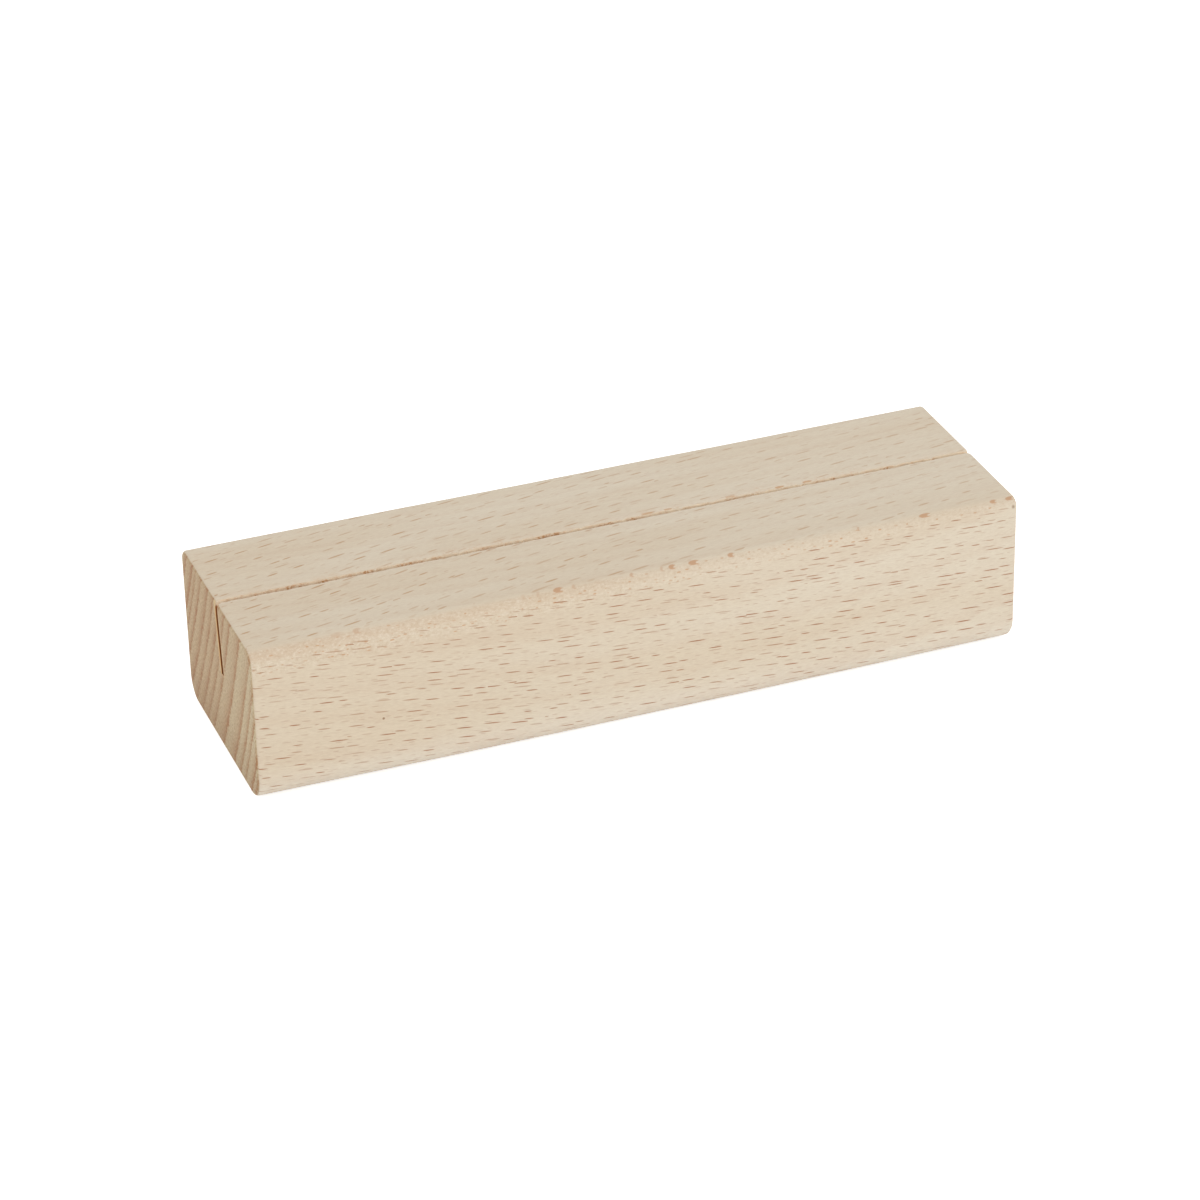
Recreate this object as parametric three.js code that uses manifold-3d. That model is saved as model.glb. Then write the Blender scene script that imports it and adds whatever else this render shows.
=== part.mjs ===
// A wooden card stand: one bar of beech with a thin saw cut along its top, which holds a card upright.
// Millimetres, +Z up. The bar lies along X with its front towards -Y, and the card leans back towards +Y.
// The origin is the middle of the face that the stand rests on.

import * as THREE from "three";
import { mergeVertices, toCreasedNormals } from "three/addons/utils/BufferGeometryUtils.js";
import Module from "manifold-3d";

// The bar.
const BAR_LENGTH = 120;
const BAR_DEPTH = 35;
const BAR_HEIGHT = 25;
const TOP_EDGE_RADIUS = 2; // both long edges of the top
const BOTTOM_EDGE_RADIUS = 3.5; // both long edges of the base
const END_EASE = 0.5; // radius sanded onto the edges around each sawn end

// The kerf, a saw cut through the whole length of the bar.
const KERF_WIDTH = 1; // between the two walls, square to them
const KERF_DEPTH = 11.5; // straight down from the top face to the middle of the floor
const KERF_LEAN = THREE.MathUtils.degToRad(6); // the walls' tilt from upright, foot to the front
const KERF_FROM_FRONT = 16.85; // from the front face to the middle of the mouth, level with the top face
const LIP_RADIUS = 0.25; // rubbed onto the two edges of the mouth

// How finely the round stretches are divided: an arc of an outline has two facets for each step.
const LONG_EDGE_STEPS = 4;
const END_EASE_STEPS = 3;
const LIP_STEPS = 2;

const SAW_OVERRUN = 3; // how far the saw passes the bar's ends and top
const WELD_DISTANCE = 1e-4; // vertices nearer than this are one
const CREASE_ANGLE = THREE.MathUtils.degToRad(35); // flatter edges than this are shaded smooth

const QUARTER_TURN = Math.PI / 2;
const HALF_TURN = Math.PI;

const wasm = await Module();
wasm.setup();

// Outlines are drawn in the section plane, u towards the back and v up, and run along the bar:
// u becomes Y, v becomes Z and the run becomes X.
const SECTION_TO_BAR = new THREE.Matrix4().makeBasis(
  new THREE.Vector3(0, 1, 0),
  new THREE.Vector3(0, 0, 1),
  new THREE.Vector3(1, 0, 0),
);

// A rectangle with four rounded corners, the base on v = 0 and the middle of its depth on u = 0.
function barOutline() {
  const topU = BAR_DEPTH / 2 - TOP_EDGE_RADIUS;
  const topV = BAR_HEIGHT - TOP_EDGE_RADIUS;
  const bottomU = BAR_DEPTH / 2 - BOTTOM_EDGE_RADIUS;
  const bottomV = BOTTOM_EDGE_RADIUS;
  const outline = new THREE.Shape();
  outline.absarc(bottomU, bottomV, BOTTOM_EDGE_RADIUS, -QUARTER_TURN, 0);
  outline.absarc(topU, topV, TOP_EDGE_RADIUS, 0, QUARTER_TURN);
  outline.absarc(-topU, topV, TOP_EDGE_RADIUS, QUARTER_TURN, HALF_TURN);
  outline.absarc(-bottomU, bottomV, BOTTOM_EDGE_RADIUS, HALF_TURN, HALF_TURN + QUARTER_TURN);
  return outline;
}

// What the saw takes away: two leaning walls on a flat floor. Above the walls the mouth opens along
// the rounded lips, each an arc tangent to its wall and to the top face.
function kerfOutline() {
  const mouth = new THREE.Vector2(KERF_FROM_FRONT - BAR_DEPTH / 2, BAR_HEIGHT);
  const up = new THREE.Vector2(Math.sin(KERF_LEAN), Math.cos(KERF_LEAN));
  const back = new THREE.Vector2(up.y, -up.x);

  const floor = mouth.clone().addScaledVector(up, -KERF_DEPTH / up.y);
  const floorFront = floor.clone().addScaledVector(back, -KERF_WIDTH / 2);
  const floorBack = floor.clone().addScaledVector(back, KERF_WIDTH / 2);

  const lipV = BAR_HEIGHT - LIP_RADIUS;
  const lipToMiddle = KERF_WIDTH / 2 + LIP_RADIUS;
  const backLipU = mouth.x + (lipToMiddle - LIP_RADIUS * up.x) / up.y;
  const frontLipU = mouth.x - (lipToMiddle + LIP_RADIUS * up.x) / up.y;
  const clearOfTop = BAR_HEIGHT + SAW_OVERRUN;

  const outline = new THREE.Shape();
  outline.moveTo(floorFront.x, floorFront.y);
  outline.lineTo(floorBack.x, floorBack.y);
  outline.absarc(backLipU, lipV, LIP_RADIUS, HALF_TURN - KERF_LEAN, QUARTER_TURN, true);
  outline.lineTo(backLipU, clearOfTop);
  outline.lineTo(frontLipU, clearOfTop);
  outline.absarc(frontLipU, lipV, LIP_RADIUS, QUARTER_TURN, -KERF_LEAN, true);
  return outline;
}

// The planed bar, cut to length, with the edges around its ends eased.
function barGeometry() {
  const geometry = new THREE.ExtrudeGeometry(barOutline(), {
    depth: BAR_LENGTH - 2 * END_EASE,
    curveSegments: LONG_EDGE_STEPS,
    bevelThickness: END_EASE,
    bevelSize: END_EASE,
    bevelOffset: -END_EASE,
    bevelSegments: END_EASE_STEPS,
  });
  geometry.translate(0, 0, END_EASE - BAR_LENGTH / 2);
  return geometry.applyMatrix4(SECTION_TO_BAR);
}

// The saw's passage, longer than the bar so that the cut runs out through both ends.
function kerfGeometry() {
  const length = BAR_LENGTH + 2 * SAW_OVERRUN;
  const geometry = new THREE.ExtrudeGeometry(kerfOutline(), {
    depth: length,
    curveSegments: LIP_STEPS,
    bevelEnabled: false,
  });
  geometry.translate(0, 0, -length / 2);
  return geometry.applyMatrix4(SECTION_TO_BAR);
}

function toSolid(geometry) {
  geometry.deleteAttribute("normal");
  geometry.deleteAttribute("uv");
  const welded = mergeVertices(geometry, WELD_DISTANCE);
  return new wasm.Manifold(
    new wasm.Mesh({
      numProp: 3,
      vertProperties: welded.attributes.position.array,
      triVerts: new Uint32Array(welded.index.array),
    }),
  );
}

function toGeometry(solid) {
  const { vertProperties, triVerts } = solid.getMesh();
  const geometry = new THREE.BufferGeometry();
  geometry.setAttribute("position", new THREE.BufferAttribute(vertProperties, 3));
  geometry.setIndex(new THREE.BufferAttribute(triVerts, 1));
  return toCreasedNormals(geometry, CREASE_ANGLE);
}

const beech = new THREE.MeshStandardMaterial({
  color: 0xdccbb3,
  roughness: 0.62,
  metalness: 0,
});

const slottedBar = toSolid(barGeometry()).subtract(toSolid(kerfGeometry()));
const slottedBlock = new THREE.Mesh(toGeometry(slottedBar), beech);
slottedBlock.name = "slotted_block";

const cardStand = new THREE.Group();
cardStand.name = "card_stand";
cardStand.add(slottedBlock);

export default cardStand;
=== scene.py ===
"""Looks of the wooden card stand: a bar of plain beech with a thin saw cut along its top for a card.

Sizes are in millimetres until a mesh is made. X runs along the bar, -Y is the front and +Z is up.
"""

import math

import bpy
import numpy as np
from mathutils import Matrix, Vector, noise


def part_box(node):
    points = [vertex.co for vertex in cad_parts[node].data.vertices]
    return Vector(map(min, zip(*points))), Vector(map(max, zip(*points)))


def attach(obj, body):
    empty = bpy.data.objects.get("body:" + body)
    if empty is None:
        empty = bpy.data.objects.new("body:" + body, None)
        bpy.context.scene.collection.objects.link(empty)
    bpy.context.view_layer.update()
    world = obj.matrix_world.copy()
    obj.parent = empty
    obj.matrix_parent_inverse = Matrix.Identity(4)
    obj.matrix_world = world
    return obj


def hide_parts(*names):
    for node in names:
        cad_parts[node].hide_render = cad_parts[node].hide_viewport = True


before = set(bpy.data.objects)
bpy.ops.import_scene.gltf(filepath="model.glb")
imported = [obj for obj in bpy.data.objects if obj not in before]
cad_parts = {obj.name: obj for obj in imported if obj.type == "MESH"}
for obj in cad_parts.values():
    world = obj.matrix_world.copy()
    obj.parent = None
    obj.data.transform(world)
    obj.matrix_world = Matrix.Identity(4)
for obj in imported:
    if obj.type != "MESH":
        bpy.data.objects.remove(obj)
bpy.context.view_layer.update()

MM = 0.001
BODY = "root"
BAR_NODE = "slotted_block"

# The camera, on the line of sight that the photograph was taken along.
CAMERA_AZIMUTH = math.radians(-20.47)
CAMERA_ELEVATION = math.radians(29.46)
CAMERA_ROLL = math.radians(-1.26)
CAMERA_DISTANCE = 643.7
CAMERA_RIGHT = -0.74  # how far the camera stands to the right of the line through the origin
CAMERA_ABOVE = 10.22  # and above it
FOCAL_LENGTH = 127.38
SENSOR_WIDTH = 36.0
CLIP_START = 10.0

# The bar. Its length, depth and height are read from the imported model.
BAR_LOW = np.array(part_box(BAR_NODE)[0]) / MM
BAR_HIGH = np.array(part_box(BAR_NODE)[1]) / MM
BAR_LENGTH, BAR_DEPTH, BAR_HEIGHT = BAR_HIGH - BAR_LOW
TOP_EDGE_RADIUS = 2.0
TOP_EDGE_TAPER = 0.4  # the front edge is rounder by this at the left end, and sharper at the right
BOTTOM_EDGE_RADIUS = 3.5
BOTTOM_EDGE_FLARE = 0.75  # the front edge of the base is rounder by this at the ends than in the middle
FLARE_OFFSET = 0.2  # share of that flare by which the whole edge is sharper
EDGE_WANDER = 0.12  # how far hand sanding lets an edge's radius stray
EDGE_WANDER_LENGTH = 14.0  # about how long each stray is
END_EASE = 0.5

# The saw cut.
KERF_WIDTH = 1.0
KERF_DEPTH = 11.5
KERF_LEAN = math.radians(6)
KERF_FROM_FRONT = 16.85
KERF_PINCH = 0.12  # how much nearer its middle each wall lies at the right end than at the left
SAW_CHATTER = 0.16  # how far each wall strays from its plane
FRONT_CHATTER = 0.6  # share of that by which the front wall strays
CHATTER_FADE = 1.0  # over this length at each end the walls come back to their planes
FRONT_LIP_RADIUS = 0.05  # where the mouth's edge is clean
BACK_LIP_RADIUS = 0.12
FRONT_BITE = 0.12  # how much rounder the front edge is where fibres were torn out
BACK_BITE = 0.3  # and the back edge
KERF_CORNER = 0.95  # radius rubbed onto the corners of the mouth where it runs out at the ends

# Noise along the bar, in layers: the size of a layer's features, and its weight.
TEAR_LAYERS = ((1.3, 1.0), (0.5, 0.6), (9.0, 0.5))
CHATTER_LAYERS = ((2.6, 1.0), (0.8, 0.7))
BROWN_LAYERS = ((1.6, 0.4), (0.5, 0.4))

# The seed of each noise. A noise in layers takes one more for each layer.
FRONT_TEAR_SEED = 10
BACK_TEAR_SEED = 20
BROWN_SEED = 30
FRONT_CHATTER_SEED = 40
BACK_CHATTER_SEED = 42
LARGE_RAY_SEED = 3.7
SMALL_RAY_SEED = 11.3
GRAIN_SEED = 5.1

# How badly the mouth's edges are torn on average, and how much that changes with the noise.
TEAR_MEAN = 0.3
TEAR_CHANGE = 1.1

# How brown the mouth is in the middle of the bar, and by how much less at the right end than at the left.
BROWN_MEAN = 0.22
BROWN_FALL = 0.16

# Stretches of the mouth that the saw browned the most: place along the bar, half length and strength.
BROWN_STRETCHES = (
    (-54.2, 1.6, 0.4), (-48.8, 1.6, 0.5), (-43.5, 0.7, 0.5), (-37.3, 0.9, 0.5), (-30.3, 1.3, 0.6),
    (-17.0, 1.5, 0.3), (-9.8, 1.1, 0.6), (-7.4, 0.7, 0.5), (0.9, 1.0, 0.6), (5.2, 0.8, 0.4),
    (20.8, 0.9, 0.6), (35.0, 0.7, 0.6), (37.5, 0.5, 0.6), (45.9, 0.8, 0.4),
)

# Fibres left across the mouth: place along the bar, half width, and how far each reaches over.
BRIDGES = (
    (-52.5, 0.3, 0.2), (-35.6, 0.25, 0.45), (-28.0, 0.4, 0.35), (-22.6, 0.25, 0.25), (-12.9, 0.2, 0.3),
    (-3.5, 0.3, 0.25), (3.1, 0.35, 0.3), (12.4, 0.4, 0.35), (17.6, 0.4, 0.25), (24.5, 0.2, 0.3),
    (32.0, 0.4, 0.35), (41.8, 0.3, 0.25), (47.9, 0.4, 0.3), (53.6, 0.3, 0.35),
)

# Flakes that came off the top behind the mouth: place along the bar, half length and strength.
FLAKES = ((7.3, 1.0, 0.8), (10.6, 0.7, 0.8), (20.7, 0.9, 0.7), (28.7, 0.85, 0.95), (33.2, 0.8, 0.9))
FLAKE_FROM_WALL = 0.2  # from the kerf's back wall to the middle of a flake
FLAKE_HALF_WIDTH = 0.27

# Rays that the rounding of the front edge lays open flat: place along the bar, half length and strength.
OPEN_RAYS = (
    (-46.5, 1.3, 0.35), (-43.6, 0.8, 0.5), (-18.4, 0.5, 0.35), (-16.1, 0.4, 0.4), (-13.0, 0.9, 1.0),
    (-10.6, 0.4, 0.5), (-6.8, 0.9, 0.25), (-1.6, 0.4, 0.6), (3.1, 0.4, 0.5), (4.7, 0.65, 0.95),
    (8.1, 0.95, 1.0), (14.0, 0.65, 0.85), (29.5, 0.7, 0.22), (34.4, 0.3, 0.6), (45.2, 1.1, 1.0),
    (56.4, 0.7, 0.85), (59.1, 0.85, 0.95),
)
OPEN_RAY_HEIGHT = 0.5  # half their height
OPEN_RAY_TILT = math.radians(26)  # from the top face to the line along which they lie open

# How finely the bar's mesh is divided.
STATION_STEP = 0.2
FLAT_STEP = 2.0
LONG_EDGE_STEPS = 18
LIP_STEPS = 7
WALL_STEPS = 8
END_EASE_STEPS = 5
CAP_RIM = 0.25  # width of the strip that frames each end face
SKIN_GAP = 2.0  # between the pieces of the skin where it is laid out flat

# The tree that the bar was cut from. The pith lies behind the bar and above it.
PITH_Y = 178.0
PITH_Z = 108.5
RING_RADIUS = 203.0  # from the pith to the middle of the bar
FIRST_RING = 186.7  # radius of the dark line nearest the back, on the left end
RING_WIDTHS = (1.8, 2.3, 3.15, 2.55, 2.65, 2.45, 2.5, 4.3, 4.6, 2.6, 2.05, 2.55)
RING_FALL = 0.45  # over this width a dark line gives way to the next ring
RING_STRAY = 1.3  # how far a ring strays from its circle
RING_BEND = 0.0008  # how the rings' radius grows with the square of the distance from the bar's middle
FIBRE_WAVE = 0.8  # how far the fibres wave to either side
FIBRE_SLOPE = 0.075  # how steeply they cross the bar in its middle
FIBRE_TURN = 0.00025  # and how that slope changes along it
WIDE_RINGS_FROM = 200.0  # the wide rings begin to turn paler at this radius
WIDE_RINGS_TO = 213.0  # and are palest from here

# Noise in the wood: features per millimetre along the bar and in the two directions across it.
WAVE_NOISE = (0.02, 0.05, 0.05)
PATCH_NOISE = (0.018, 0.12, 0.12)
STREAK_NOISE = (0.09, 2.6, 2.6)
PORE_NOISE = (1.1, 6.5, 6.5)
RING_NOISE = (0.3, 1.1, 1.1)
CLEAR_NOISE = (0.1, 0.16, 0.16)
MOTTLE_NOISE = (0.5, 3.2, 3.2)
HATCH_NOISE = (0.5, 5.0, 1.3)
RAGGED_NOISE = (0.15, 0.4, 0.4)
RAISED_NOISE = (2.2, 3.0, 3.0)
SPECK_NOISE = (1.6, 3.0, 3.0)
BROKEN_NOISE = (2.4, 4.0, 4.0)

# How much such noise darkens the wood at most, and how much it lightens it.
STREAK_SHADE = (-0.018, 0.016)
PORE_SHADE = (-0.044, 0.044)
MOTTLE_SHADE = (-0.16, 0.18)
HATCH_SHADE = (-0.22, 0.24)
SHADE_BY_CHANNEL = (0.75, 1.0, 1.15)  # such a change in red, green and blue

# Flecks of ray tissue: cell in which one lies, and half its size, along the bar, across it and outwards.
LARGE_RAY_CELL = (4.0, 1.35, 15.0)
LARGE_RAY_HALF = (1.18, 0.08, 14.0)
SMALL_RAY_CELL = (2.8, 0.9, 9.0)
SMALL_RAY_HALF = (0.65, 0.07, 8.0)
SMALL_RAY_STRENGTH = 0.32
RAY_SCATTER = 0.85  # 0 sets the flecks on a grid, 1 anywhere in their cells
RAY_SHORTEST = 0.65  # length of the shortest fleck
RAY_LENGTHENING = 0.75  # and how much longer the longest is, both as shares of the size above
RAY_FAINTEST = 0.45

# How strongly the flecks show on the top at its left and right, on its edges, and on the ends.
RAY_TOP_LEFT = 0.94
RAY_TOP_RIGHT = 0.62
RAY_EDGE_LOSS = 0.85
RAY_ON_END = 0.12

# Places along the bar between which the look of its left part gives way to that of its right part.
LEFT_PART = -40.0
RIGHT_PART = 50.0

# The wood gets paler to the right by these amounts from end to end, on the front and on the top.
FRONT_CHANGE = 0.42
TOP_CHANGE = 0.14

# Painted light from the white floor, which makes the foot of the long sides paler: full up to the first
# height, and gone at the second.
FOOT_LOW = 0.5
FOOT_HIGH = 6.5
FOOT_LIGHT_STRENGTH = 0.62

# The end faces are darker at the foot: fully so up to the first height, and least above the second.
END_LOW = 2.0
END_HIGH = 10.0
END_SHADE = (-0.14, -0.01)

# The fuzzy band along the front edge of the top: how far it comes down the front face.
FUZZ_LEFT = 4.4
FUZZ_RIGHT = 1.9
FUZZ_RAGGED = 1.0  # how far its lower edge strays
FUZZ_FADE = (-1.4, 0.5)  # it fades out between these distances below that edge
FUZZ_BACK = (2.5, 3.0)  # and between these behind the front face
FUZZ_TINT_DEPTH = (1.8, 0.7)  # orange stain in it starts and is full at these depths below the top
FUZZ_TINT = (0.2, 0.04)  # its strength at the left and at the right
FUZZ_ROUGH_PART = (-30.0, 40.0)  # places along the bar between which the band gets smoother
# The band's rough look is painted highlight and painted shade, and this is its strength.
FUZZ_ROUGH = (0.62, 0.42)  # how rough it looks there

# Grains of stained fibre in the fuzzy band: cell in which one lies, and half its size, along X, Y and Z.
GRAIN_CELL = (1.2, 0.7, 0.7)
GRAIN_HALF = (0.3, 0.13, 0.13)
GRAIN_STRENGTH = 0.9

# Painted highlights on the top along the mouth's edges, by distance from the wall: rise and fall of each.
FRONT_EDGE_LIGHT_RISE = (-0.1, 0.0)
FRONT_EDGE_LIGHT_FALL = (0.1, 0.55)
BACK_EDGE_LIGHT_RISE = (0.0, 0.3)
BACK_EDGE_LIGHT_FALL = (0.5, 1.2)
BACK_EDGE_LIGHT_STRENGTH = 0.6

# The walls of the kerf are dark with saw burn and painted shade from between these depths on, at the ends a
# little higher up.
WALL_DARK_FROM = (0.6, 1.2)
WALL_END_LIFT = 0.15
WALL_END = (0.5, 0.1)  # that starts and is full at these distances from the end
WALL_END_BROWN = 0.3  # least browning there

# Strips along the kerf on the end faces, painted highlights and a fringe, by distance from the wall:
# between which each fades out.
END_STRIP_START = (-0.3, -0.2)
END_STRIP_FOOT = 0.4  # they fade out over this height below the kerf's floor
FRONT_HALO = (0.1, 0.9)
FRONT_HALO_STRENGTH = 0.45
BACK_HALO = (0.4, 0.9)
BACK_HALO_STRENGTH = 0.75
# The golden fringe behind the cut on the ends: saw scorch, with painted shade that widens the cut's dark
# line.
FRINGE = (0.12, 0.48)
FRINGE_STRENGTH = 0.95
FRINGE_DEPTH = (1.5, 0.6)  # the fringe is full and gone at these depths below the top

# Small dark marks, with the radius of each: a pin knot on the front, and painted shade for a chip at the
# right corner that the mesh does not dent.
MARKS = ((-40.75, -17.5, 10.25, 0.22), (59.3, -17.2, 23.7, 0.4))
MARK_STRENGTH = 0.8

# The surface: dull, with shallow pores and raised fibres.
ROUGHNESS = (0.58, 0.7)
SPECULAR_LEVEL = 0.3
BUMP_STRENGTH = 0.4
BUMP_HEIGHT = 0.06
PORE_RELIEF = 0.4
FUZZ_RELIEF = 1.2

# The studio: a floor that the camera sees as white, light from all round, and one softbox.
FLOOR_SIZE = 6000.0
FLOOR_COLOUR = (0.94, 0.94, 0.94, 1.0)
FLOOR_LIFT = 0.6
WORLD_LIGHT = 0.865
WHITE = (1.0, 1.0, 1.0, 1.0)
KEY_PLACE = (350, -1050, 250)
KEY_AIM = (0, 0, 12)
KEY_WIDTH = 900
KEY_HEIGHT = 450
KEY_POWER = 2.4


def wander(x, size, seed):
    """Smooth noise between -1 and 1 along the bar, with features of about that size."""
    return np.array([noise.noise(Vector((value / size, seed + 0.5, 0.5))) for value in x])


def layered(x, layers, seed):
    """Noise along the bar with features of several sizes."""
    return sum(weight * wander(x, size, seed + count) for count, (size, weight) in enumerate(layers))


def tears(x, seed):
    """How badly the saw tore one edge of the kerf's mouth at each station, from 0 to 1."""
    return np.clip(TEAR_MEAN + TEAR_CHANGE * layered(x, TEAR_LAYERS, seed), 0, 1)


def chatter(x, seed):
    """How far a wall of the kerf strays from its plane at each station."""
    fade = np.clip((BAR_LENGTH / 2 - np.abs(x)) / CHATTER_FADE, 0, 1)
    return SAW_CHATTER * layered(x, CHATTER_LAYERS, seed) * fade


def bridged(x):
    """How far fibres of the back edge reach over the mouth at each station."""
    return sum(reach * np.exp(-((x - place) / half) ** 2) for place, half, reach in BRIDGES)


def stations():
    """Places along the bar with the easing of each: close together where the ends are rounded over."""
    half = BAR_LENGTH / 2
    count = round((BAR_LENGTH - 2 * END_EASE) / STATION_STEP)
    x = np.linspace(END_EASE - half, half - END_EASE, count + 1)
    turn = np.linspace(0, math.pi / 2, END_EASE_STEPS + 1)[1:]
    out = half - END_EASE + END_EASE * np.sin(turn)
    ease = END_EASE * (1 - np.cos(turn))
    x = np.concatenate((-out[::-1], x, out))
    ease = np.concatenate((ease[::-1], np.zeros(count + 1), ease))
    return x, ease


def straight(start, end, steps):
    """Points from start up to, but without, end. Each is a pair of columns, one value per station."""
    t = np.linspace(0, 1, steps, endpoint=False)
    return [(start[0] + (end[0] - start[0]) * k, start[1] + (end[1] - start[1]) * k) for k in t]


def arc(centre, radius, first, last, steps):
    """Points on an arc from the first angle up to, but without, the last."""
    t = np.linspace(first, last, steps, endpoint=False)
    return [(centre[0] + radius * math.cos(k), centre[1] + radius * math.sin(k)) for k in t]


def flat_steps(length):
    return max(1, round(length / FLAT_STEP))


def bar_section(x, ease):
    """The bar's outline at each station, from the back of the kerf's floor round to the front of it.

    Returns an array of stations by points by (Y, Z).
    """
    half = BAR_DEPTH / 2 - ease
    top = BAR_HEIGHT - ease
    base = ease
    from_middle = x / (BAR_LENGTH / 2)
    stray = [EDGE_WANDER * wander(x, EDGE_WANDER_LENGTH, seed) for seed in range(4)]
    front_top = TOP_EDGE_RADIUS - TOP_EDGE_TAPER * from_middle + stray[0] - ease
    back_top = TOP_EDGE_RADIUS + stray[1] - ease
    flare = BOTTOM_EDGE_FLARE * (from_middle ** 2 - FLARE_OFFSET)
    front_bottom = BOTTOM_EDGE_RADIUS + flare + stray[2] - ease
    back_bottom = BOTTOM_EDGE_RADIUS + stray[3] - ease
    near_end = np.clip(1 - (BAR_LENGTH / 2 - np.abs(x)) / KERF_CORNER, 0, 1)
    corner = KERF_CORNER * (1 - np.sqrt(1 - near_end ** 2))
    front_lip = FRONT_LIP_RADIUS + FRONT_BITE * tears(x, FRONT_TEAR_SEED) + corner
    back_lip = BACK_LIP_RADIUS + BACK_BITE * tears(x, BACK_TEAR_SEED) + corner

    lean_sin, lean_cos = math.sin(KERF_LEAN), math.cos(KERF_LEAN)
    mouth = KERF_FROM_FRONT - BAR_DEPTH / 2
    half_kerf = KERF_WIDTH / 2 - KERF_PINCH * (x / BAR_LENGTH + 0.5)
    front_half = half_kerf + FRONT_CHATTER * chatter(x, FRONT_CHATTER_SEED)
    back_half = half_kerf + chatter(x, BACK_CHATTER_SEED) - bridged(x)
    back_lip_y = mouth + (back_half + back_lip - back_lip * lean_sin) / lean_cos
    front_lip_y = mouth - (front_half + front_lip + front_lip * lean_sin) / lean_cos
    floor_y = mouth - KERF_DEPTH * math.tan(KERF_LEAN)
    floor_z = BAR_HEIGHT - KERF_DEPTH
    floor_back = (floor_y + half_kerf * lean_cos, floor_z - half_kerf * lean_sin)
    floor_front = (floor_y - half_kerf * lean_cos, floor_z + half_kerf * lean_sin)
    back_wall_top = (back_lip_y - back_lip * lean_cos, top - back_lip + back_lip * lean_sin)
    front_wall_top = (front_lip_y + front_lip * lean_cos, top - front_lip - front_lip * lean_sin)

    quarter = math.pi / 2
    side_steps = flat_steps(BAR_HEIGHT - TOP_EDGE_RADIUS - BOTTOM_EDGE_RADIUS)
    base_steps = flat_steps(BAR_DEPTH - 2 * BOTTOM_EDGE_RADIUS)
    top_steps = flat_steps(BAR_DEPTH / 2 - TOP_EDGE_RADIUS)
    outline = straight(floor_back, back_wall_top, WALL_STEPS)
    outline += arc((back_lip_y, top - back_lip), back_lip, math.pi - KERF_LEAN, quarter, LIP_STEPS)
    outline += straight((back_lip_y, top), (half - back_top, top), top_steps)
    outline += arc((half - back_top, top - back_top), back_top, quarter, 0, LONG_EDGE_STEPS)
    outline += straight((half, top - back_top), (half, base + back_bottom), side_steps)
    outline += arc((half - back_bottom, base + back_bottom), back_bottom, 0, -quarter, LONG_EDGE_STEPS)
    outline += straight((half - back_bottom, base), (front_bottom - half, base), base_steps)
    outline += arc((front_bottom - half, base + front_bottom), front_bottom, -quarter, -2 * quarter,
                   LONG_EDGE_STEPS)
    outline += straight((-half, base + front_bottom), (-half, top - front_top), side_steps)
    outline += arc((front_top - half, top - front_top), front_top, 2 * quarter, quarter, LONG_EDGE_STEPS)
    outline += straight((front_top - half, top), (front_lip_y, top), top_steps)
    outline += arc((front_lip_y, top - front_lip), front_lip, quarter, -KERF_LEAN, LIP_STEPS)
    outline += straight(front_wall_top, floor_front, WALL_STEPS)
    outline.append(floor_front)
    columns = [np.broadcast_arrays(y, z, x)[:2] for y, z in outline]
    return np.stack([np.stack(pair, -1) for pair in columns], 1)


def make_bar():
    x, ease = stations()
    half = BAR_LENGTH / 2
    # One more ring at each end frames the flat end face.
    x = np.concatenate(([-half], x, [half]))
    ease = np.concatenate(([END_EASE + CAP_RIM], ease, [END_EASE + CAP_RIM]))
    section = bar_section(x, ease)
    count, around = section.shape[:2]
    points = np.empty((count, around, 3))
    points[..., 0] = x[:, None]
    points[..., 1:] = section
    mesh = bpy.data.meshes.new("beech_bar")
    index = np.arange(count * around).reshape(count, around)
    following = np.roll(index, -1, axis=1)
    quads = np.stack((index[:-1], index[1:], following[1:], following[:-1]), -1).reshape(-1, 4)
    faces = quads.tolist() + [index[0].tolist(), index[-1][::-1].tolist()]
    mesh.from_pydata((points.reshape(-1, 3) * MM).tolist(), [], faces)
    bar = bpy.data.objects.new("beech_bar", mesh)
    bpy.context.scene.collection.objects.link(bar)
    mesh.polygons.foreach_set("use_smooth", [len(face) == 4 for face in faces])
    mark(mesh, "sawn", sawn(x, around))
    mark(mesh, "torn", torn_lip(x, around))
    mark(mesh, "brown", browned(x, around))
    mark(mesh, "open_ray", open_rays(x, around))
    unwrap(mesh, x, ease, section)
    return bar


def mark(mesh, name, values):
    """Writes one value per point to the mesh, for the wood's colour to follow."""
    mesh.attributes.new(name, "FLOAT", "POINT").data.foreach_set("value", values.ravel())


def sawn(x, around):
    """1 on the walls and the floor of the kerf, falling to 0 on the lower half of its lips."""
    fade = np.clip(1 - 2 * np.arange(LIP_STEPS) / LIP_STEPS, 0, 1)
    side = np.concatenate((np.ones(WALL_STEPS), fade))
    values = np.zeros((len(x), around))
    values[:, :len(side)] = side
    values[:, -1 - len(side):-1] = side[::-1]
    values[:, -1] = 1
    return values


def torn_lip(x, around):
    """How torn the back edge of the kerf's mouth is."""
    torn = np.zeros((len(x), around))
    torn[:, WALL_STEPS:WALL_STEPS + LIP_STEPS + 1] = tears(x, BACK_TEAR_SEED)[:, None]
    return torn


def browned(x, around):
    """How brown the saw left the back of the kerf's mouth, from the wall to its edge."""
    amount = BROWN_MEAN - BROWN_FALL * x / BAR_LENGTH + layered(x, BROWN_LAYERS, BROWN_SEED)
    for place, half, strength in BROWN_STRETCHES:
        amount += strength * np.exp(-((x - place) / half) ** 2)
    brown = np.zeros((len(x), around))
    brown[:, :WALL_STEPS + LIP_STEPS + 1] = np.clip(amount, 0, 1)[:, None]
    return brown


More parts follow.
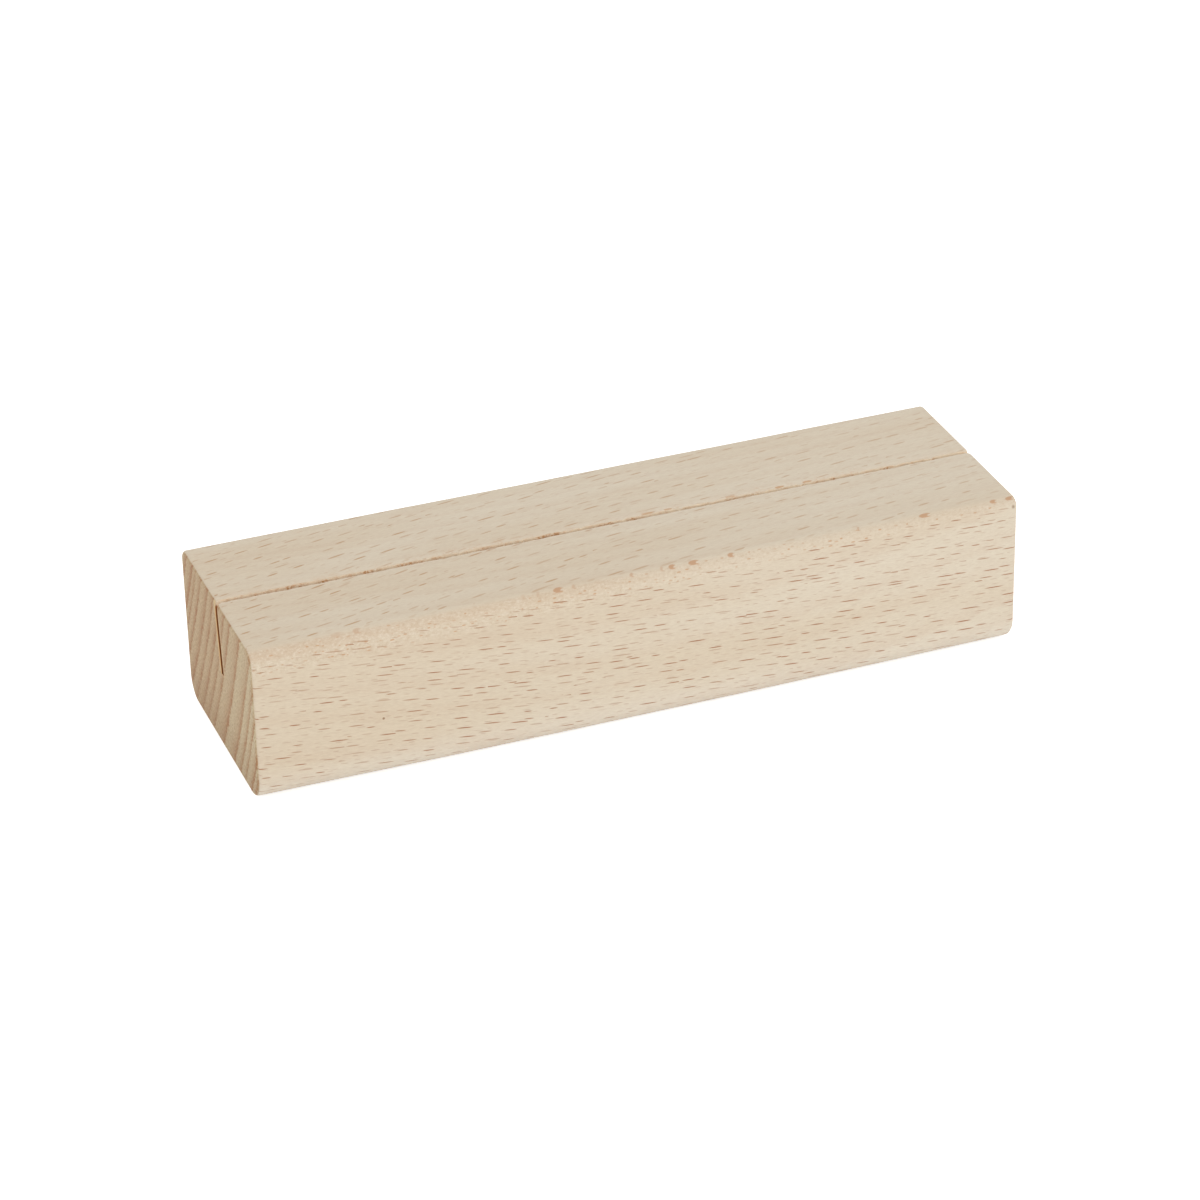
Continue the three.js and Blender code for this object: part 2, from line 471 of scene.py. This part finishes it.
def open_rays(x, around):
    """Rays laid open flat on the front edge of the top, round to the left and forked to the right."""
    top_steps = flat_steps(BAR_DEPTH / 2 - TOP_EDGE_RADIUS)
    end = around - 1 - WALL_STEPS - LIP_STEPS - top_steps
    edge = slice(end - LONG_EDGE_STEPS, end)
    turn = np.linspace(math.pi / 2, 0, LONG_EDGE_STEPS, endpoint=False)
    up = (turn - OPEN_RAY_TILT) * TOP_EDGE_RADIUS / OPEN_RAY_HEIGHT
    shown = np.zeros((len(x), LONG_EDGE_STEPS))
    for place, half, strength in OPEN_RAYS:
        along = (x[:, None] - place) / half
        whole = along ** 2 + up ** 2
        # A smaller oval is taken out of the right side, which leaves the fork.
        fork = (1.6 * along - 1.2) ** 2 + (2.0 * up - 0.3) ** 2
        form = np.clip(2.2 - 2 * whole, 0, 1) * np.clip(2 * fork - 0.8, 0, 1)
        shown = np.maximum(shown, strength * form)
    values = np.zeros((len(x), around))
    values[:, edge] = shown
    return values


def unwrap(mesh, x, ease, section):
    """Lays the bar's skin out flat: the long sides as one sheet, and the two ends beside it."""
    around = section.shape[1]
    along = np.concatenate(([0], np.cumsum(np.hypot(np.diff(x), np.diff(ease)))))
    middle = section[len(x) // 2]
    girth = np.concatenate(([0], np.cumsum(np.hypot(*(np.roll(middle, -1, axis=0) - middle).T))))
    sheet = np.empty((len(x) - 1, around, 4, 2))
    sheet[..., (0, 3), 0] = along[:-1, None, None]
    sheet[..., (1, 2), 0] = along[1:, None, None]
    sheet[..., (0, 1), 1] = girth[None, :-1, None]
    sheet[..., (2, 3), 1] = girth[None, 1:, None]
    left = np.stack((section[0, :, 1], section[0, :, 0] + BAR_DEPTH / 2), -1)
    right = np.stack((section[-1, ::-1, 1], section[-1, ::-1, 0] + BAR_DEPTH / 2), -1)
    left += (along[-1] + SKIN_GAP, 0)
    right += (along[-1] + SKIN_GAP, BAR_DEPTH + SKIN_GAP)
    flat = np.concatenate((sheet.reshape(-1, 2), left, right)) + SKIN_GAP
    side = max(girth[-1], along[-1] + SKIN_GAP + BAR_HEIGHT) + 2 * SKIN_GAP
    mesh.uv_layers.new(name="OFBake").data.foreach_set("uv", (flat / side).ravel())


class Graph:
    """Adds shader nodes to a material or a world, and joins them up by value."""

    def __init__(self, owner):
        owner.use_nodes = True
        self.tree = owner.node_tree

    def node(self, kind, **settings):
        node = self.tree.nodes.new("ShaderNode" + kind)
        for name, value in settings.items():
            setattr(node, name, value)
        return node

    def feed(self, socket, value):
        if isinstance(value, bpy.types.NodeSocket):
            self.tree.links.new(value, socket)
        else:
            socket.default_value = value

    def math(self, operation, *values):
        node = self.node("Math", operation=operation)
        for socket, value in zip(node.inputs, values):
            self.feed(socket, value)
        return node.outputs[0]

    def add(self, a, b):
        return self.math("ADD", a, b)

    def minus(self, a, b):
        return self.math("SUBTRACT", a, b)

    def times(self, a, b):
        return self.math("MULTIPLY", a, b)

    def scaled(self, value, factor, offset):
        return self.math("MULTIPLY_ADD", value, factor, offset)

    def squares(self, *values):
        """The squares of the values, added up."""
        total = self.times(values[0], values[0])
        for value in values[1:]:
            total = self.add(total, self.times(value, value))
        return total

    def join(self, x, y, z):
        node = self.node("CombineXYZ")
        for socket, value in zip(node.inputs, (x, y, z)):
            self.feed(socket, value)
        return node.outputs[0]

    def split(self, vector):
        node = self.node("SeparateXYZ")
        self.feed(node.inputs[0], vector)
        return node.outputs

    def vector(self, operation, a, b):
        node = self.node("VectorMath", operation=operation)
        self.feed(node.inputs[0], a)
        self.feed(node.inputs[1], b)
        return node.outputs["Value" if operation == "LENGTH" else "Vector"]

    def smooth(self, value, low, high, start=0.0, end=1.0):
        """start where value is low, end where it is high, and a smooth change between."""
        node = self.node("MapRange", interpolation_type="SMOOTHSTEP")
        numbers = {"Value": value, "From Min": low, "From Max": high, "To Min": start, "To Max": end}
        for name, number in numbers.items():
            self.feed(node.inputs[name], number)
        return node.outputs[0]

    def fade(self, value, low, high, start=1.0):
        """start where value is low, and a smooth change to 0 where it is high."""
        return self.smooth(value, low, high, start, 0.0)

    def noise(self, place, per_mm, detail=2.0, roughness=0.5):
        node = self.node("TexNoise")
        vector = self.vector("MULTIPLY", place, per_mm)
        numbers = {"Vector": vector, "Scale": 1.0, "Detail": detail, "Roughness": roughness}
        for name, number in numbers.items():
            self.feed(node.inputs[name], number)
        return node.outputs[0]

    def attribute(self, name):
        return self.node("Attribute", attribute_name=name).outputs["Fac"]

    def mix(self, factor, a, b, blend="MIX"):
        node = self.node("Mix", data_type="RGBA", blend_type=blend)
        for socket, value in zip((node.inputs[0], node.inputs[6], node.inputs[7]), (factor, a, b)):
            self.feed(socket, value)
        return node.outputs[2]


def linear(red, green, blue):
    """A colour as it shows on screen, 0 to 255, in the linear light that shaders use."""
    def channel(value):
        value /= 255
        return value / 12.92 if value <= 0.04045 else ((value + 0.055) / 1.055) ** 2.4
    return (channel(red), channel(green), channel(blue), 1.0)


PALE_WOOD = linear(222, 209, 188)
WARM_WOOD = linear(218, 202, 178)
FOOT_PAINTED_LIGHT = linear(232, 224, 210)
RING_TINT = linear(213, 168, 137)
RAY_EDGE_ON = linear(168, 119, 87)
RAY_FLAT = linear(194, 159, 123)
RAY_LAID_OPEN = linear(200, 161, 128)
END_GRAIN = linear(222, 208, 185)
END_GRAIN_PALE = linear(232, 227, 209)
KERF_MOUTH_PAINTED_LIGHT = linear(250, 234, 208)
KERF_BROWN = linear(206, 154, 106)
KERF_WALL_BURN_AND_SHADE = linear(138, 80, 38)
KERF_SCORCH_AND_SHADE = linear(206, 155, 78)
KERF_PAINTED_HIGHLIGHT = linear(224, 196, 150)
TORN_FIBRE = linear(203, 165, 128)
PAINTED_FIBRE_LIGHT = linear(230, 216, 196)
FUZZ_PAINTED_SHADE = linear(204, 180, 151)
FUZZ_ORANGE = linear(202, 162, 126)
KNOT_COLOUR_AND_CHIP_SHADE = linear(140, 102, 70)


def grain_space(g, place, normal):
    """Coordinates that follow the fibres: along the bar, out from the pith, and across the rays.

    The fourth value is how squarely the surface faces across the rays, 0 to 1.
    """
    x, y, z = g.split(place)
    wave = g.scaled(g.noise(place, WAVE_NOISE, detail=1.0), 2 * FIBRE_WAVE, -FIBRE_WAVE)
    from_pith_y = g.add(y, -PITH_Y)
    from_pith_z = g.add(z, -PITH_Z)
    radius = g.math("SQRT", g.squares(from_pith_y, from_pith_z))
    bend = g.scaled(g.times(x, x), RING_BEND, -RING_BEND * (BAR_LENGTH / 2) ** 2)
    out = g.add(g.add(radius, bend), g.times(wave, 0.5))
    angle = g.math("ARCTAN2", from_pith_z, from_pith_y)
    drift = g.times(x, g.scaled(x, FIBRE_TURN, -FIBRE_SLOPE))
    across = g.add(g.add(g.times(angle, RING_RADIUS), drift), wave)
    turned = g.minus(g.times(normal[2], from_pith_y), g.times(normal[1], from_pith_z))
    facing = g.math("DIVIDE", g.math("ABSOLUTE", turned), radius)
    return x, out, across, facing


def shaded(g, colour, amount):
    """The colour made lighter or darker by a small amount, a little more so in blue than in red."""
    tint = g.join(*(g.scaled(amount, share, 1.0) for share in SHADE_BY_CHANNEL))
    return g.mix(1.0, colour, tint, "MULTIPLY")


def plain_wood(g, place, fibre, normal, end_face, streak, pores):
    """Pale wood, warmer to the left, with faint streaks along the fibres, and painted floor light at the
    foot.
    """
    x, _, z = g.split(place)
    patch = g.noise(fibre, PATCH_NOISE)
    level = g.math("ABSOLUTE", normal[2])
    change = g.smooth(level, 0.3, 0.9, FRONT_CHANGE / BAR_LENGTH, TOP_CHANGE / BAR_LENGTH)
    paleness = g.add(g.add(g.times(x, change), patch), 0.25)
    colour = g.mix(g.smooth(paleness, 0.5, 1.0), WARM_WOOD, PALE_WOOD)
    # Painted light: the foot of the long sides is made paler, as if lit from the white floor.
    foot = g.times(g.fade(z, FOOT_LOW, FOOT_HIGH, FOOT_LIGHT_STRENGTH), g.minus(1.0, end_face))
    colour = g.mix(foot, colour, FOOT_PAINTED_LIGHT)
    grain = g.add(g.smooth(streak, 0.25, 0.75, *STREAK_SHADE), g.smooth(pores, 0.3, 0.7, *PORE_SHADE))
    return shaded(g, colour, grain)


def ring_tone(g, out):
    """How dark the growth rings make the wood: most on the line that ends each ring, 0 just outside it."""
    total = sum(RING_WIDTHS)
    within = g.math("FRACT", g.scaled(out, 1 / total, -FIRST_RING / total))
    ramp = g.node("ValToRGB")
    g.feed(ramp.inputs[0], within)
    stops = ramp.color_ramp.elements
    fall = RING_FALL / total
    edge = 0.0
    for count, width in enumerate(RING_WIDTHS):
        start = stops[0] if count == 0 else stops.new(edge)
        start.color = (0, 0, 0, 1)
        start.position = edge
        edge += width / total
        end = stops[-1] if count == len(RING_WIDTHS) - 1 else stops.new(edge - fall)
        end.color = (1, 1, 1, 1)
        end.position = edge - fall
    age = ramp.outputs[0]
    slow = g.smooth(age, 0.1, 1.0, 0.0, 0.5)
    last = g.smooth(age, 0.74, 1.0, 0.0, 0.42)
    return g.add(slow, last)


def ringed(g, colour, place, out, end_face):
    """Growth rings, plain on the ends and faint on the long sides."""
    uneven = g.noise(place, RING_NOISE, detail=5.0, roughness=0.8)
    ring = ring_tone(g, g.add(out, g.scaled(uneven, 2 * RING_STRAY, -RING_STRAY)))
    clear = g.noise(place, CLEAR_NOISE, detail=3.0)
    ring = g.times(ring, g.smooth(clear, 0.3, 0.7, 0.7, 1.15))
    ring = g.times(ring, g.smooth(end_face, 0.0, 1.0, 0.1, 1.0))
    return g.mix(ring, colour, g.mix(1.0, colour, RING_TINT, "MULTIPLY"))


def rays(g, x, out, across, cell, half, seed):
    """Flecks of ray tissue: thin lenses that lie along the fibres and stand on edge towards the pith."""
    spread = g.join(*(g.scaled(value, 1 / size, seed) for value, size in zip((x, across, out), cell)))
    voronoi = g.node("TexVoronoi", voronoi_dimensions="3D", feature="F1")
    g.feed(voronoi.inputs["Vector"], spread)
    voronoi.inputs["Scale"].default_value = 1.0
    voronoi.inputs["Randomness"].default_value = RAY_SCATTER
    chance = g.node("SeparateColor")
    g.feed(chance.inputs[0], voronoi.outputs["Color"])
    away = g.vector("SUBTRACT", spread, voronoi.outputs["Position"])
    reach = tuple(c / h for c, h in zip(cell, half))
    along, thick, deep = g.split(g.vector("MULTIPLY", away, reach))
    along = g.math("DIVIDE", along, g.scaled(chance.outputs[0], RAY_LENGTHENING, RAY_SHORTEST))
    mask = g.fade(g.squares(along, thick, deep), 0.4, 1.25)
    return g.times(mask, g.smooth(chance.outputs[1], 0.0, 0.9, RAY_FAINTEST, 1.0))


def rayed(g, colour, ray, x, normal, facing, end_face):
    """Rays are dark where the surface cuts them on edge, fainter on the top and more so to the right.

    Where the rounded edge lays them open they are orange.
    """
    flat = g.smooth(facing, 0.6, 0.95, 0.0, 0.95)
    edge = g.times(g.smooth(normal[2], 0.3, 0.55), g.fade(normal[2], 0.95, 0.985))
    on_top = g.smooth(x, LEFT_PART, RIGHT_PART, RAY_TOP_LEFT, RAY_TOP_RIGHT)
    strength = g.times(g.smooth(facing, 0.45, 0.88, 1.0, on_top), g.scaled(edge, -RAY_EDGE_LOSS, 1.0))
    strength = g.times(strength, g.smooth(end_face, 0.0, 1.0, 1.0, RAY_ON_END))
    colour = g.mix(g.times(ray, strength), colour, g.mix(flat, RAY_EDGE_ON, RAY_FLAT))
    return g.mix(g.smooth(g.attribute("open_ray"), 0.05, 0.95), colour, RAY_LAID_OPEN)


def end_grain(g, colour, place, fibre, out, end_face):
    """End grain is darker than the long sides and mottled, and its wide rings are paler."""
    z = g.split(place)[2]
    wide = g.smooth(out, WIDE_RINGS_FROM, WIDE_RINGS_TO)
    darker = g.mix(1.0, colour, g.mix(wide, END_GRAIN, END_GRAIN_PALE), "MULTIPLY")
    mottle = g.noise(place, MOTTLE_NOISE, detail=4.0, roughness=0.75)
    hatch = g.noise(fibre, HATCH_NOISE, detail=3.0, roughness=0.7)
    uneven = g.add(g.smooth(mottle, 0.3, 0.7, *MOTTLE_SHADE), g.smooth(hatch, 0.3, 0.7, *HATCH_SHADE))
    darker = shaded(g, darker, g.add(uneven, g.smooth(z, END_LOW, END_HIGH, *END_SHADE)))
    return g.mix(end_face, colour, darker)


def fuzz_band(g, place, normal):
    """1 on the front edge of the top and a little way down the front, where sanding raised the fibres."""
    x, y, z = g.split(place)
    ragged = g.noise(place, RAGGED_NOISE)
    slope = (FUZZ_RIGHT - FUZZ_LEFT) / BAR_LENGTH
    reach = g.add(g.scaled(x, slope, (FUZZ_LEFT + FUZZ_RIGHT) / 2),
                  g.scaled(ragged, 2 * FUZZ_RAGGED, -FUZZ_RAGGED))
    drop = g.minus(BAR_HEIGHT, z)
    down = g.fade(g.minus(drop, reach), *FUZZ_FADE)
    front = g.fade(y, FUZZ_BACK[0] - BAR_DEPTH / 2, FUZZ_BACK[1] - BAR_DEPTH / 2)
    return g.times(g.times(down, front), g.fade(normal[2], 0.86, 0.97))


def fuzzed(g, colour, place, fuzz, raised):
    """Painted highlights on raised fibres and painted shade in the hollows beside them, and some fibres are
    stained orange.
    """
    x, y, z = g.split(place)
    stained = g.smooth(z, BAR_HEIGHT - FUZZ_TINT_DEPTH[0], BAR_HEIGHT - FUZZ_TINT_DEPTH[1])
    tint = g.times(fuzz, g.smooth(x, LEFT_PART, RIGHT_PART, *FUZZ_TINT))
    colour = g.mix(g.times(tint, stained), colour, FUZZ_ORANGE)
    rough = g.times(fuzz, g.smooth(x, *FUZZ_ROUGH_PART, *FUZZ_ROUGH))
    # Painted highlight on raised fibres and painted shade beside them, following the bump's noise.
    colour = g.mix(g.times(rough, g.smooth(raised, 0.5, 0.66)), colour, PAINTED_FIBRE_LIGHT)
    colour = g.mix(g.times(rough, g.fade(raised, 0.32, 0.47)), colour, FUZZ_PAINTED_SHADE)
    grain = rays(g, x, y, z, GRAIN_CELL, GRAIN_HALF, GRAIN_SEED)
    return g.mix(g.times(grain, g.smooth(fuzz, 0.3, 1.0, 0.0, GRAIN_STRENGTH)), colour, FUZZ_ORANGE)


def kerf_sides(g, place):
    """How far a place lies in front of the kerf's front wall, and how far behind its back wall."""
    x, y, z = g.split(place)
    mouth = KERF_FROM_FRONT - BAR_DEPTH / 2
    middle = g.add(g.times(g.add(y, -mouth), math.cos(KERF_LEAN)),
                   g.times(g.add(z, -BAR_HEIGHT), -math.sin(KERF_LEAN)))
    half = g.scaled(x, -KERF_PINCH / BAR_LENGTH, (KERF_WIDTH - KERF_PINCH) / 2)
    return g.minus(g.times(middle, -1.0), half), g.minus(middle, half)


def torn_top(g, colour, place, normal):
    """Painted highlights along the mouth's edges, broken up like torn fibres, and flakes that came off
    behind it leave an orange hollow.
    """
    x = g.split(place)[0]
    before, behind = kerf_sides(g, place)
    speck = g.noise(place, SPECK_NOISE, detail=3.0, roughness=0.65)
    on_top = g.smooth(normal[2], 0.5, 0.9)
    # Painted highlights where the edges of the mouth catch the light, speckled like torn fibres.
    front_edge_light = g.times(g.smooth(before, *FRONT_EDGE_LIGHT_RISE), g.fade(before, *FRONT_EDGE_LIGHT_FALL))
    back_edge_light = g.times(g.smooth(behind, *BACK_EDGE_LIGHT_RISE),
                        g.fade(behind, *BACK_EDGE_LIGHT_FALL, BACK_EDGE_LIGHT_STRENGTH))
    edge_highlight = g.times(g.add(front_edge_light, back_edge_light), g.smooth(speck, 0.35, 0.65, 0.15, 0.75))
    colour = g.mix(g.times(edge_highlight, on_top), colour, PAINTED_FIBRE_LIGHT)
    torn = g.times(g.attribute("torn"), g.smooth(speck, 0.4, 0.65, 0.0, 0.5))
    colour = g.mix(torn, colour, TORN_FIBRE)
    across = g.scaled(behind, 1 / FLAKE_HALF_WIDTH, -FLAKE_FROM_WALL / FLAKE_HALF_WIDTH)
    for middle, half, strength in FLAKES:
        along = g.scaled(x, 1 / half, -middle / half)
        ragged = g.add(g.squares(along, across), g.scaled(speck, 2.0, -1.0))
        flake = g.fade(ragged, 0.5, 1.2, strength)
        colour = g.mix(g.times(flake, on_top), colour, TORN_FIBRE)
    return colour


def kerf_on_end(g, colour, place, end_face):
    """Painted highlights on the ends before and behind the cut, and behind it a fringe of scorch and
    painted shade.
    """
    z = g.split(place)[2]
    before, behind = kerf_sides(g, place)
    floor = BAR_HEIGHT - KERF_DEPTH
    beside = g.times(end_face, g.smooth(z, floor - END_STRIP_FOOT, floor))
    in_front = g.times(beside, g.smooth(before, *END_STRIP_START))
    at_back = g.times(beside, g.smooth(behind, *END_STRIP_START))
    # Painted highlights: pale strips where the edges of the cut catch the light.
    front_highlight = g.times(in_front, g.fade(before, *FRONT_HALO, FRONT_HALO_STRENGTH))
    back_highlight = g.times(at_back, g.fade(behind, *BACK_HALO, BACK_HALO_STRENGTH))
    colour = g.mix(front_highlight, colour, KERF_PAINTED_HIGHLIGHT)
    colour = g.mix(back_highlight, colour, KERF_PAINTED_HIGHLIGHT)
    # Saw scorch and painted shade: a golden fringe behind the cut that widens its dark line.
    below_top = g.fade(z, BAR_HEIGHT - FRINGE_DEPTH[0], BAR_HEIGHT - FRINGE_DEPTH[1])
    fringe = g.times(g.fade(behind, *FRINGE, FRINGE_STRENGTH), below_top)
    return g.mix(g.times(at_back, fringe), colour, KERF_SCORCH_AND_SHADE)


def kerf_walls(g, colour, place, end_face):
    """The cut's walls: painted light and browned patches at the mouth, saw burn and painted shade below it.
    """
    x, _, z = g.split(place)
    cut = g.times(g.attribute("sawn"), g.minus(1.0, end_face))
    broken = g.noise(place, BROKEN_NOISE, detail=3.0, roughness=0.65)
    at_end = g.smooth(g.math("ABSOLUTE", x), BAR_LENGTH / 2 - WALL_END[0], BAR_LENGTH / 2 - WALL_END[1])
    patches = g.times(g.attribute("brown"), g.smooth(broken, 0.38, 0.62, 0.2, 1.2))
    brown = g.math("MAXIMUM", patches, g.times(at_end, WALL_END_BROWN))
    # Painted light: the wall at the mouth is paler than the wood, to lift the slot's shade.
    mouth = g.mix(brown, KERF_MOUTH_PAINTED_LIGHT, KERF_BROWN)
    below = g.minus(g.scaled(at_end, WALL_END_LIFT, BAR_HEIGHT), z)
    # Saw burn and painted shade: the walls darken with depth, darkest near the ends where the cut is seen
    # end on.
    walls = g.mix(g.smooth(below, *WALL_DARK_FROM), mouth, g.mix(at_end, KERF_BROWN, KERF_WALL_BURN_AND_SHADE))
    return g.mix(cut, colour, walls)


def marked(g, colour, place):
    """The pin knot, and painted shade for the chip."""
    for x, y, z, radius in MARKS:
        away = g.vector("LENGTH", g.vector("SUBTRACT", place, (x, y, z)), (0, 0, 0))
        near = g.fade(away, 0.5 * radius, 1.2 * radius, MARK_STRENGTH)
        colour = g.mix(near, colour, KNOT_COLOUR_AND_CHIP_SHADE)
    return colour


def beech():
    material = bpy.data.materials.new("beech")
    g = Graph(material)
    place = g.vector("MULTIPLY", g.node("TexCoord").outputs["Object"], (1 / MM, 1 / MM, 1 / MM))
    normal = g.split(g.node("NewGeometry").outputs["Normal"])
    end_face = g.smooth(g.math("ABSOLUTE", normal[0]), 0.5, 0.9)
    x, out, across, facing = grain_space(g, place, normal)
    fibre = g.join(x, out, across)
    streak = g.noise(fibre, STREAK_NOISE, detail=3.0, roughness=0.6)
    pores = g.noise(fibre, PORE_NOISE, roughness=0.6)
    large = rays(g, x, out, across, LARGE_RAY_CELL, LARGE_RAY_HALF, LARGE_RAY_SEED)
    small = rays(g, x, out, across, SMALL_RAY_CELL, SMALL_RAY_HALF, SMALL_RAY_SEED)
    ray = g.math("MAXIMUM", large, g.times(small, SMALL_RAY_STRENGTH))
    fuzz = fuzz_band(g, place, normal)
    raised = g.noise(place, RAISED_NOISE, detail=3.0, roughness=0.7)

    colour = plain_wood(g, place, fibre, normal, end_face, streak, pores)
    colour = ringed(g, colour, place, out, end_face)
    colour = fuzzed(g, colour, place, fuzz, raised)
    colour = rayed(g, colour, ray, x, normal, facing, end_face)
    colour = end_grain(g, colour, place, fibre, out, end_face)
    colour = torn_top(g, colour, place, normal)
    colour = kerf_on_end(g, colour, place, end_face)
    colour = kerf_walls(g, colour, place, end_face)
    colour = marked(g, colour, place)

    shader = g.tree.nodes["Principled BSDF"]
    g.feed(shader.inputs["Base Color"], colour)
    g.feed(shader.inputs["Roughness"], g.smooth(streak, 0.2, 0.8, *ROUGHNESS))
    shader.inputs["Specular IOR Level"].default_value = SPECULAR_LEVEL
    bump = g.node("Bump")
    bump.inputs["Strength"].default_value = BUMP_STRENGTH
    bump.inputs["Distance"].default_value = BUMP_HEIGHT * MM
    pore_relief = g.times(g.minus(pores, ray), PORE_RELIEF)
    g.feed(bump.inputs["Height"], g.add(pore_relief, g.times(g.times(raised, fuzz), FUZZ_RELIEF)))
    g.feed(shader.inputs["Normal"], bump.outputs[0])
    return material


def make_camera():
    a, e, r = CAMERA_AZIMUTH, CAMERA_ELEVATION, CAMERA_ROLL
    back = Vector((math.sin(a) * math.cos(e), -math.cos(a) * math.cos(e), math.sin(e)))
    level = Vector((math.cos(a), math.sin(a), 0))
    upright = back.cross(level)
    right = level * math.cos(r) + upright * math.sin(r)
    up = upright * math.cos(r) - level * math.sin(r)
    place = right * CAMERA_RIGHT + up * CAMERA_ABOVE + back * CAMERA_DISTANCE
    data = bpy.data.cameras.new("camera")
    data.sensor_width = SENSOR_WIDTH
    data.lens = FOCAL_LENGTH
    data.clip_start = CLIP_START * MM
    camera = bpy.data.objects.new("camera", data)
    axes = Matrix((right, up, back)).transposed().to_4x4()
    camera.matrix_world = Matrix.Translation(place * MM) @ axes
    bpy.context.scene.collection.objects.link(camera)
    bpy.context.scene.camera = camera


def white_to_camera(g, strength_lit, strength_seen):
    """One strength for lighting things, and another for what the camera sees, also in mirrors and glass."""
    path = g.node("LightPath")
    seen = g.math("MAXIMUM", path.outputs["Is Camera Ray"], path.outputs["Is Glossy Ray"])
    seen = g.math("MAXIMUM", seen, path.outputs["Is Transmission Ray"])
    return g.scaled(seen, strength_seen - strength_lit, strength_lit)


def make_floor():
    half = FLOOR_SIZE * MM / 2
    corners = [(-half, -half, 0), (half, -half, 0), (half, half, 0), (-half, half, 0)]
    mesh = bpy.data.meshes.new("floor")
    mesh.from_pydata(corners, [], [(0, 1, 2, 3)])
    floor = bpy.data.objects.new("floor", mesh)
    bpy.context.scene.collection.objects.link(floor)
    material = bpy.data.materials.new("floor")
    g = Graph(material)
    shader = g.tree.nodes["Principled BSDF"]
    shader.inputs["Base Color"].default_value = FLOOR_COLOUR
    shader.inputs["Roughness"].default_value = 1.0
    shader.inputs["Specular IOR Level"].default_value = 0.0
    shader.inputs["Emission Color"].default_value = WHITE
    g.feed(shader.inputs["Emission Strength"], white_to_camera(g, 0.0, FLOOR_LIFT))
    mesh.materials.append(material)


def make_world():
    world = bpy.data.worlds.new("studio")
    bpy.context.scene.world = world
    g = Graph(world)
    background = g.tree.nodes["Background"]
    background.inputs["Color"].default_value = WHITE
    g.feed(background.inputs["Strength"], white_to_camera(g, WORLD_LIGHT, 1.0))


def make_key_light():
    place, aim = Vector(KEY_PLACE), Vector(KEY_AIM)
    data = bpy.data.lights.new("key", "AREA")
    data.shape = "RECTANGLE"
    data.size = KEY_WIDTH * MM
    data.size_y = KEY_HEIGHT * MM
    data.energy = KEY_POWER
    light = bpy.data.objects.new("key", data)
    light.location = place * MM
    light.rotation_euler = (place - aim).to_track_quat("Z", "Y").to_euler()
    bpy.context.scene.collection.objects.link(light)


make_camera()
make_floor()
make_world()
make_key_light()

bar = make_bar()
bar.data.materials.append(beech())
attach(bar, BODY)
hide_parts(BAR_NODE)

bpy.context.scene.view_settings.view_transform = "Standard"
